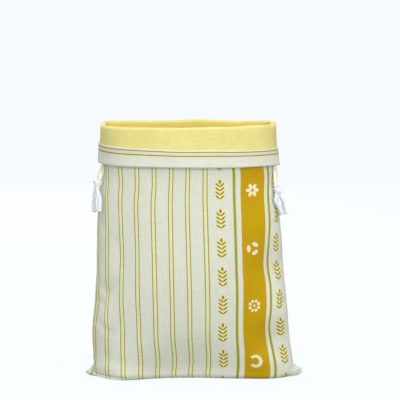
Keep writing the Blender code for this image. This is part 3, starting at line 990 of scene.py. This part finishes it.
def rope_piece(name, line, diameter, material, closed=False, opens=1.0):
    """Three strands laid round a line. From the share at which the rope opens, they come apart into yarns."""
    bm = bmesh.new()
    strand = diameter * STRAND_SHARE
    frames = frames_along(line, closed)
    for n in range(STRANDS):
        rings = []
        for k, (point, a, b, along) in enumerate(frames):
            open_share = max(0.0, k / (len(line) - 1) - opens) / (1 - opens) if opens < 1 else 0.0
            turn = 2 * math.pi * (n / STRANDS + along / TWIST_PITCH)
            out = strand * (1.0 + OPEN_APART * open_share)
            centre = point + (a * math.cos(turn) + b * math.sin(turn)) * out
            rings.append(add_ring(bm, centre, a, b, strand * (1.0 + OPEN_WIDTH * open_share), STRAND_SIDES))
        join_rings(bm, rings + rings[:1] if closed else rings)
        if not closed:
            close_strand(bm, rings[0][::-1], line[0] - line[1], strand)
            close_strand(bm, rings[-1], line[-1] - line[-2], strand)
    if opens < 1:
        add_loose_yarns(bm, line, diameter)
    return new_piece(name, bm, material)


def close_strand(bm, ring, onwards, strand):
    """A strand's end, drawn to a blunt point."""
    centre = sum((vertex.co for vertex in ring), Vector()) / len(ring)
    tip = bm.verts.new(centre + onwards.normalized() * strand * STRAND_TIP)
    for k in range(len(ring)):
        bm.faces.new((ring[k], ring[(k + 1) % len(ring)], tip))


# Materials


def set_inputs(tree, node, inputs):
    """Gives a node's inputs values, or links them to sockets or to the first live output of other nodes."""
    for key, value in inputs.items() if isinstance(inputs, dict) else enumerate(inputs):
        if isinstance(value, bpy.types.Node):
            value = next(socket for socket in value.outputs if socket.enabled)
        if isinstance(value, bpy.types.NodeSocket):
            tree.links.new(value, node.inputs[key])
        else:
            node.inputs[key].default_value = value


def add_node(tree, kind, inputs=(), **settings):
    """Adds a node to a material, with its settings and the values or links of its inputs."""
    node = tree.nodes.new(kind)
    for key, value in settings.items():
        setattr(node, key, value)
    set_inputs(tree, node, inputs)
    return node


def new_material(name):
    """A new material, with its node tree and its shader."""
    material = bpy.data.materials.new(name)
    material.use_nodes = True
    return material, material.node_tree, material.node_tree.nodes["Principled BSDF"]


def place_on_cloth(tree):
    """Millimetres across and up the flat cloth, from the piece's own UV map."""
    uv = add_node(tree, "ShaderNodeUVMap", uv_map="flat_cloth")
    place = add_node(tree, "ShaderNodeVectorMath", {0: uv, "Scale": 1000.0}, operation="SCALE")
    parts = add_node(tree, "ShaderNodeSeparateXYZ", [place])
    return place, parts.outputs["X"], parts.outputs["Y"]


def woven_threads(tree, spacing, slub):
    """A plain weave's height, and how much paler or darker its slubby threads are, each about 0 to 1."""
    place, across, up = place_on_cloth(tree)
    waves = []
    for way in (across, up):
        turn = add_node(tree, "ShaderNodeMath", [way, math.pi / spacing], operation="MULTIPLY")
        waves.append(add_node(tree, "ShaderNodeMath", [turn], operation="SINE"))
    crossing = add_node(tree, "ShaderNodeMath", waves, operation="MULTIPLY")
    # A slub is a thick stretch of one thread: about one thread wide and a good centimetre long
    slubs = []
    for stretch in ((1 / spacing, 1 / slub, 1.0), (1 / slub, 1 / spacing, 1.0)):
        placed = add_node(tree, "ShaderNodeVectorMath", [place, stretch], operation="MULTIPLY")
        noises = {"Vector": placed, "Scale": SLUB_SCALE, "Detail": 2.0, "Roughness": 0.6}
        slubs.append(add_node(tree, "ShaderNodeTexNoise", noises, noise_dimensions="2D").outputs["Fac"])
    both = add_node(tree, "ShaderNodeMath", slubs, operation="ADD")
    threads = add_node(tree, "ShaderNodeMath", [both, 0.5], operation="MULTIPLY")
    height = add_node(tree, "ShaderNodeMath", [crossing, CROSSING_SHARE, threads], operation="MULTIPLY_ADD")
    return height, threads


def finish_cloth(tree, shader, colour, weave, contrast):
    """Joins a matt cloth's colour, its threads' shades and its weave's relief to the shader."""
    height, threads = weave
    shade = add_node(tree, "ShaderNodeMapRange", {
        "Value": threads, "From Min": 0.30, "From Max": 0.70,
        "To Min": 1.0 - contrast, "To Max": 1.0 + contrast,
    })
    shaded = add_node(tree, "ShaderNodeVectorMath", {0: colour, "Scale": shade}, operation="SCALE")
    bump = add_node(tree, "ShaderNodeBump", {"Strength": 1.0, "Distance": WEAVE_DEPTH, "Height": height})
    set_inputs(tree, shader, {
        "Base Color": shaded, "Normal": bump, "Roughness": 0.88, "Specular IOR Level": 0.15,
        "Sheen Weight": 0.05, "Sheen Roughness": 0.5, "IOR": 1.53,
    })


def layered(tree, ground, layers):
    """A ground colour with others laid over it in turn, each as much as its mask says."""
    colour = linear(ground)
    for over, mask in layers:
        colour = add_node(tree, "ShaderNodeMix", {0: mask, 6: colour, 7: linear(over)}, data_type="RGBA")
    return colour


def stripe_pair_masks(tree, across, centre, pitch):
    """Masks of the thin lines, and of the tint between them, of line pairs that repeat across the cloth."""
    moved = add_node(tree, "ShaderNodeMath", [across, centre], operation="SUBTRACT")
    away = add_node(tree, "ShaderNodeMath", [moved, pitch / 2], operation="PINGPONG")
    lines = add_node(tree, "ShaderNodeMath", [away, PAIR_HALF, THIN_LINE / 2], operation="COMPARE")
    return lines, add_node(tree, "ShaderNodeMath", [away, PAIR_HALF], operation="LESS_THAN")


def oval_mask(tree, across, up, oval):
    """1 inside an upright oval and 0 outside it."""
    x = add_node(tree, "ShaderNodeMath", [across, oval.across], operation="SUBTRACT")
    y = add_node(tree, "ShaderNodeMath", [up, oval.up], operation="SUBTRACT")
    place = add_node(tree, "ShaderNodeCombineXYZ", [x, y])
    size = (oval.half_width, oval.half_height, 1.0)
    scaled = add_node(tree, "ShaderNodeVectorMath", [place, size], operation="DIVIDE")
    away = add_node(tree, "ShaderNodeVectorMath", [scaled], operation="LENGTH").outputs["Value"]
    return add_node(tree, "ShaderNodeMath", [away, 1.0], operation="LESS_THAN")


def wheat_masks(tree, across, up):
    """Masks of an ear of wheat, four pairs of grains and one on top, and of the pale tint round it."""
    sides = []
    for column in WHEAT_COLUMNS:
        moved = add_node(tree, "ShaderNodeMath", [across, column], operation="SUBTRACT")
        sides.append(add_node(tree, "ShaderNodeMath", [moved], operation="ABSOLUTE"))
    aside = add_node(tree, "ShaderNodeMath", sides, operation="MINIMUM")
    second = add_node(tree, "ShaderNodeMath", [across, BAND_CENTRE], operation="GREATER_THAN")
    lifted = add_node(tree, "ShaderNodeMath", [second, -SECOND_COLUMN_LIFT, up], operation="MULTIPLY_ADD")
    raised = add_node(tree, "ShaderNodeMath", [lifted, WHEAT_CENTRE], operation="SUBTRACT")
    level = add_node(tree, "ShaderNodeMath", [raised, WHEAT_PITCH / 2, -WHEAT_PITCH / 2], operation="WRAP")
    slope = add_node(tree, "ShaderNodeMath", [aside, GRAIN_SLOPE], operation="MULTIPLY")
    along = add_node(tree, "ShaderNodeMath", [level, slope], operation="SUBTRACT")
    from_top = add_node(tree, "ShaderNodeMath", [along, TOP_GRAINS], operation="SUBTRACT")
    to_row = add_node(tree, "ShaderNodeMath", [from_top, GRAIN_PITCH / 2], operation="PINGPONG")
    middle = TOP_GRAINS - (GRAIN_ROWS - 1) / 2 * GRAIN_PITCH
    reach = GRAIN_ROWS / 2 * GRAIN_PITCH
    rows = add_node(tree, "ShaderNodeMath", [along, middle, reach], operation="COMPARE")
    grain = oval_mask(tree, aside, to_row, GRAIN)
    grains = add_node(tree, "ShaderNodeMath", [grain, rows], operation="MULTIPLY")
    top = oval_mask(tree, aside, level, TOP_GRAIN)
    ears = add_node(tree, "ShaderNodeMath", [grains, top], operation="MAXIMUM")
    return ears, oval_mask(tree, aside, level, WHEAT_GROUND)


def badge_mask(tree, across, up):
    """Plain ornaments down the wide band: six petals, three leaves, a ring of dots and an open wreath."""
    x = add_node(tree, "ShaderNodeMath", [across, BADGE_CENTRE], operation="SUBTRACT")
    down = add_node(tree, "ShaderNodeMath", [BADGE_TOP, up], operation="SUBTRACT")
    steps = add_node(tree, "ShaderNodeMath", [down, BADGE_PITCH], operation="DIVIDE")
    number = add_node(tree, "ShaderNodeMath", [steps], operation="ROUND")
    level = add_node(tree, "ShaderNodeMath", [number, BADGE_PITCH, up], operation="MULTIPLY_ADD")
    y = add_node(tree, "ShaderNodeMath", [level, BADGE_TOP], operation="SUBTRACT")
    place = add_node(tree, "ShaderNodeCombineXYZ", [x, y])
    away = add_node(tree, "ShaderNodeVectorMath", [place], operation="LENGTH").outputs["Value"]
    turn = add_node(tree, "ShaderNodeMath", [y, x], operation="ARCTAN2")
    masks = []
    for badge in BADGES:
        moved = add_node(tree, "ShaderNodeMath", [turn, math.radians(badge.start)], operation="SUBTRACT")
        angle = add_node(tree, "ShaderNodeMath", [moved, math.pi / badge.count], operation="PINGPONG")
        cosine = add_node(tree, "ShaderNodeMath", [angle], operation="COSINE")
        sine = add_node(tree, "ShaderNodeMath", [angle], operation="SINE")
        out = add_node(tree, "ShaderNodeMath", [away, cosine], operation="MULTIPLY")
        aside = add_node(tree, "ShaderNodeMath", [away, sine], operation="MULTIPLY")
        masks.append(oval_mask(tree, out, aside, badge.oval))
    heart = add_node(tree, "ShaderNodeMath", [away, DOT_RING_HEART], operation="LESS_THAN")
    masks[DOT_RING] = add_node(tree, "ShaderNodeMath", [masks[DOT_RING], heart], operation="MAXIMUM")
    # The wreath is open on its left
    side = add_node(tree, "ShaderNodeMath", [turn], operation="ABSOLUTE")
    closed = add_node(tree, "ShaderNodeMath", [side, math.radians(WREATH_REACH)], operation="LESS_THAN")
    masks[WREATH] = add_node(tree, "ShaderNodeMath", [masks[WREATH], closed], operation="MULTIPLY")
    shown = 0.0
    for n, mask in enumerate(masks):
        here = add_node(tree, "ShaderNodeMath", [number, float(n), BADGE_SLACK], operation="COMPARE")
        shown = add_node(tree, "ShaderNodeMath", [mask, here, shown], operation="MULTIPLY_ADD")
    return shown


def printed_canvas_material():
    """Unbleached cotton canvas, plain woven and screen printed: matt, a little slubby, its ink flat on it."""
    material, tree, shader = new_material("screen printed cotton canvas")
    _, across, up = place_on_cloth(tree)
    # The stripes leave room for the ears and the wide band on the right of the front
    middle = (BORDER_START + BORDER_END) / 2
    half = (BORDER_END - BORDER_START) / 2
    border = add_node(tree, "ShaderNodeMath", [across, middle, half], operation="COMPARE")
    clear = add_node(tree, "ShaderNodeMath", [1.0, border], operation="SUBTRACT")
    band = add_node(tree, "ShaderNodeMath", [across, BAND_CENTRE, BAND_WIDTH / 2], operation="COMPARE")
    lines, tint = stripe_pair_masks(tree, across, FIRST_PAIR, PAIR_PITCH)
    ears, wheat_tint = wheat_masks(tree, across, up)
    inks = []
    for line in WIDE_LINES:
        wide_line = add_node(tree, "ShaderNodeMath", [across, line, WIDE_LINE / 2], operation="COMPARE")
        inks.append((OLIVE_INK, wide_line))
    for ink, mask, room in (
        (STRIPE_TINT, tint, clear), (OLIVE_INK, lines, clear),
        (WHEAT_TINT, wheat_tint, border), (GRAIN_INK, ears, border),
        (OCHRE_INK, 1.0, band), (BADGE_WHITE, badge_mask(tree, across, up), band),
    ):
        inks.append((ink, add_node(tree, "ShaderNodeMath", [mask, room], operation="MULTIPLY")))
    colour = layered(tree, CANVAS_GROUND, inks)
    finish_cloth(tree, shader, colour, woven_threads(tree, CANVAS_THREAD, CANVAS_SLUB), CANVAS_CONTRAST)
    return material


def lining_material():
    """Cotton dyed yellow in the piece and washed: matt, softly mottled where the dye took unevenly."""
    material, tree, shader = new_material("piece dyed cotton lining")
    place, across, up = place_on_cloth(tree)
    noises = {"Vector": place, "Scale": DYE_CLOUDS, "Detail": 3.0, "Roughness": 0.55}
    clouds = add_node(tree, "ShaderNodeTexNoise", noises, noise_dimensions="2D").outputs["Fac"]
    # Inside the bag, below the rim, the lining is painted warmer and more saturated: painted light for the
    # glow that passes through the cloth and bounces about inside
    inside = add_node(tree, "ShaderNodeMath", [up, 1000 * TURN_HEIGHT], operation="LESS_THAN")
    # The side seams, where the cloth is doubled and drawn in: a darker line, partly the seam itself and
    # partly painted shade of the small folds it draws in
    from_left = add_node(tree, "ShaderNodeMath", [across, 1000 * FLAT_WIDTH], operation="PINGPONG")
    from_right = add_node(tree, "ShaderNodeMath", [1000 * FLAT_WIDTH, from_left], operation="SUBTRACT")
    nearest = add_node(tree, "ShaderNodeMath", [from_left, from_right], operation="MINIMUM")
    seam = add_node(tree, "ShaderNodeMath", [nearest, LINING_SEAM_LINE], operation="LESS_THAN")
    dyes_and_painted_light = [(LINING_PALE, clouds), (LINING_PAINTED_GLOW, inside), (LINING_SEAM_AND_SHADE, seam)]
    colour = layered(tree, LINING_DEEP, dyes_and_painted_light)
    finish_cloth(tree, shader, colour, woven_threads(tree, LINING_THREAD, LINING_SLUB), LINING_CONTRAST)
    return material


def casing_material():
    """Strips of the same screen printed canvas, cut so that one pair of its stripes runs along them."""
    material, tree, shader = new_material("printed cotton canvas strip")
    _, _, up = place_on_cloth(tree)
    lines, _ = stripe_pair_masks(tree, up, CASING_PAIR, 10 * PAIR_PITCH)
    # The pale tint starts at the strip's upper edge and ends softly below the lines
    low_line = CASING_PAIR + PAIR_HALF
    tint = add_node(tree, "ShaderNodeMapRange", {
        "Value": up, "From Min": low_line, "From Max": low_line + CASING_TINT_FADE,
        "To Min": 1.0, "To Max": 0.0,
    })
    colour = layered(tree, CANVAS_GROUND, [(CASING_TINT, tint), (CASING_INK, lines)])
    finish_cloth(tree, shader, colour, woven_threads(tree, CANVAS_THREAD, CANVAS_SLUB), STRIP_CONTRAST)
    return material


def thread_material():
    """Spun polyester sewing thread: cream and slightly lustrous, its twist drawn coarse so that it shows."""
    material, tree, shader = new_material("spun sewing thread")
    place = add_node(tree, "ShaderNodeTexCoord").outputs["Object"]
    waves = {"Vector": place, "Scale": PLIES, "Distortion": 1.0}
    plies = add_node(tree, "ShaderNodeTexWave", waves, bands_direction="DIAGONAL").outputs["Fac"]
    colour = layered(tree, THREAD_SHADE, [(THREAD_CREAM, plies)])
    set_inputs(tree, shader, {"Base Color": colour, "Roughness": 0.6, "IOR": 1.55})
    return material


def cord_material():
    """Soft white cotton cord, twisted from three strands of loose yarn: quite matt, with fine fibres."""
    material, tree, shader = new_material("twisted cotton cord")
    place = add_node(tree, "ShaderNodeTexCoord").outputs["Object"]
    # Yarn fibres are far finer than a pixel, so they are drawn about 0.8 mm apart
    noises = {"Vector": place, "Scale": FIBRES, "Detail": 2.0, "Roughness": 0.6}
    fibres = add_node(tree, "ShaderNodeTexNoise", noises).outputs["Fac"]
    # Above the knots the cords are painted creamier: painted shade, for the yellowish cast they take where
    # they hang in the shade of the yellow-lined cuff
    height = add_node(tree, "ShaderNodeSeparateXYZ", [place]).outputs["Z"]
    heights = {"Value": height, "From Min": PAINTED_SHADE_FROM, "From Max": PAINTED_SHADE_FULL, "To Max": PAINTED_SHADE_SHARE}
    painted_shade = add_node(tree, "ShaderNodeMapRange", heights)
    colour = layered(tree, CORD_SHADE, [(CORD_WHITE, fibres), (CORD_PAINTED_SHADE, painted_shade)])
    bump = add_node(tree, "ShaderNodeBump", {"Strength": 1.0, "Distance": FIBRE_DEPTH, "Height": fibres})
    set_inputs(tree, shader, {
        "Base Color": colour, "Normal": bump, "Roughness": 0.9, "Sheen Weight": 0.2,
        "Sheen Roughness": 0.5, "IOR": 1.53,
    })
    return material


# The camera, then the bag


def aimed_at(place, aim):
    """The turn of a camera or light at a place that looks at another."""
    return (Vector(aim) - Vector(place)).to_track_quat("-Z", "Y").to_euler()


def make_camera():
    """The camera, where the photograph was taken from."""
    data = bpy.data.cameras.new("camera")
    camera = bpy.data.objects.new("camera", data)
    bpy.context.scene.collection.objects.link(camera)
    camera.location = CAMERA_AT
    camera.rotation_euler = aimed_at(CAMERA_AT, CAMERA_AIM)
    data.lens = LENS
    data.sensor_width = SENSOR
    bpy.context.scene.camera = camera


def make_cords(material):
    """At each side a knot, two stretches that hang to it from under the cuff, and two tails below it."""
    for side, name in ((LEFT, "left"), (RIGHT, "right")):
        make_knot("knot_" + name, side, material)
    for name, (side, diameter, places) in CORDS.items():
        line = smooth_line([beside_wall(side, place) for place in places], RING_STEP)
        tail = name.startswith("tail")
        rope = rope_piece("drawcord_" + name, line, diameter, material, opens=TAIL_OPENS if tail else 1.0)
        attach(rope, "root")
        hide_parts(name)


def make_knot(name, side, material):
    """The knot of both cords, as a trefoil of the same cord drawn tight."""
    middle = beside_wall(side, KNOTS[side])
    half = CORD / 2
    wide = (KNOT_WIDTH / 2 - half) / 3
    tall = KNOT_HEIGHT / 2 - half
    line = []
    steps = 90
    for k in range(steps):
        t = 2 * math.pi * k / steps
        line.append(middle + Vector((
            wide * (math.sin(t) + 2 * math.sin(2 * t)),
            wide * (math.cos(t) - 2 * math.cos(2 * t)),
            -tall * math.sin(3 * t),
        )))
    knot = rope_piece("drawcord_" + name, line, CORD, material, closed=True)
    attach(knot, "root")
    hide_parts(name)
    return knot


def make_cloth(canvas, lining, casing):
    """The printed canvas, the lining over its rim, and the casing strips on the cuff."""
    around = list(range(AROUND + 1))
    bag = cloth_piece("printed_canvas", around, canvas_rows(), CANVAS, canvas)
    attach(bag, "root")
    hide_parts("outer_bag")
    inside = cloth_piece("yellow_lining", around, lining_rows(), LINING, lining)
    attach(inside, "root")
    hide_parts("lining")
    first = ACROSS.index(CASING_START)
    for panel, name in ((FRONT, "front"), (BACK, "back")):
        columns = [panel * PANEL_STEPS + i for i in range(first, PANEL_STEPS - first + 1)]
        rows = [
            (CASING_TOP - height, lambda i, height=height: on_casing(i, height, CASING_DEPTH))
            for height in CUFF_HEIGHTS if height < CASING_TOP + CLOSE
        ]
        strip = cloth_piece("casing_strip_" + name, columns, rows, CASING, casing)
        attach(strip, "root")
        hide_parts("casing_" + name)


def make_stitches(material):
    """Rows of lockstitches along both edges of each casing strip, each a copy of one modelled first."""
    bpy.ops.object.select_all(action="DESELECT")
    bpy.ops.mesh.primitive_uv_sphere_add(segments=6, ring_count=5, radius=STITCH_THICK / 2)
    model = bpy.context.active_object
    bpy.ops.object.mode_set(mode="EDIT")
    bpy.ops.mesh.select_all(action="SELECT")
    bpy.ops.transform.resize(value=(STITCH_LONG / STITCH_THICK, 1.0, 1.0))
    bpy.ops.object.mode_set(mode="OBJECT")
    model.data.shade_smooth()
    model.data.materials.append(material)
    for panel, name in ((FRONT, "front"), (BACK, "back")):
        bpy.ops.object.select_all(action="DESELECT")
        for height in (CASING_TOP - STITCH_INSET, CUFF_EDGE + STITCH_INSET):
            for place, along, out in stitch_places(panel, height):
                stitch = model.copy()
                stitch.data = model.data.copy()
                turned = Matrix((along, out.cross(along), out)).transposed().to_4x4()
                stitch.data.transform(Matrix.Translation(place) @ turned)
                bpy.context.scene.collection.objects.link(stitch)
                stitch.select_set(True)
        bpy.context.view_layer.objects.active = stitch
        bpy.ops.object.join()
        row = bpy.context.active_object
        row.name = "casing_stitches_" + name
        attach(row, "root")
    bpy.data.objects.remove(model)


def stitch_places(panel, height):
    """Where one row's stitches lie on the casing, with their directions along the row and outwards."""
    inset = ACROSS.index(CASING_START)
    first = panel * PANEL_STEPS + inset
    last = first + PANEL_STEPS - 2 * inset
    row = [on_casing(i, height, CASING_DEPTH + CASING) for i in range(first, last + 1)]
    length = length_of(row)
    count = round((length - 2 * STITCH_END) / STITCH_PITCH)
    ends = STITCH_END / length
    shares = [ends + (1 - 2 * ends) * k / count for k in range(count + 1)]
    middles = spaced(row, shares)
    ahead = spaced(row, [share + STITCH_AHEAD / length for share in shares])
    places = []
    for a, b in zip(middles, ahead):
        along = (b - a).normalized()
        out = along.cross(Vector((0.0, 0.0, 1.0))).normalized()
        places.append((a + out * STITCH_SUNK, along, out))
    return places


def paper_material():
    """Matt studio paper, lit so evenly that it is nearly white all over and keeps only a faint shadow."""
    material, tree, _ = new_material("pale matt paper")
    seen = add_node(tree, "ShaderNodeLightPath").outputs["Is Camera Ray"]
    brightness = {"Value": seen, "To Min": PAPER_BOUNCE, "To Max": PAPER_GLOW}
    strength = add_node(tree, "ShaderNodeMapRange", brightness)
    glow = add_node(tree, "ShaderNodeEmission", {"Color": linear(BACKDROP), "Strength": strength})
    matt = add_node(tree, "ShaderNodeBsdfDiffuse", {"Color": linear(PAPER)})
    mix = add_node(tree, "ShaderNodeMixShader", [PAPER_SHADOW, glow, matt])
    set_inputs(tree, tree.nodes["Material Output"], {"Surface": mix})
    return material


def make_stage():
    """A pale floor, an even pale surround, and soft lights in front, at both sides, above and behind."""
    bpy.ops.mesh.primitive_plane_add(size=FLOOR_SIZE, location=(0.0, 0.0, -FLOOR_DROP))
    floor = bpy.context.active_object
    floor.name = "floor"
    floor.data.materials.append(paper_material())
    world = bpy.data.worlds.new("studio")
    bpy.context.scene.world = world
    world.use_nodes = True
    tree = world.node_tree
    backdrop = add_node(tree, "ShaderNodeBackground", {"Color": linear(BACKDROP), "Strength": 1.0})
    sky = add_node(tree, "ShaderNodeBackground", {"Color": linear(SKY), "Strength": AMBIENT})
    seen = add_node(tree, "ShaderNodeLightPath").outputs["Is Camera Ray"]
    mix = add_node(tree, "ShaderNodeMixShader", [seen, sky, backdrop])
    set_inputs(tree, tree.nodes["World Output"], {"Surface": mix})
    for row in LIGHTS:
        data = bpy.data.lights.new(row.name, "AREA")
        data.shape = "SQUARE"
        data.size = row.size
        data.energy = row.power
        light = bpy.data.objects.new(row.name, data)
        bpy.context.scene.collection.objects.link(light)
        light.location = row.place
        light.rotation_euler = aimed_at(row.place, LIGHTS_AIM)
    bpy.context.scene.view_settings.view_transform = "Standard"


make_camera()
bpy.ops.object.select_all(action="DESELECT")
make_cords(cord_material())
make_cloth(printed_canvas_material(), lining_material(), casing_material())
make_stitches(thread_material())
make_stage()
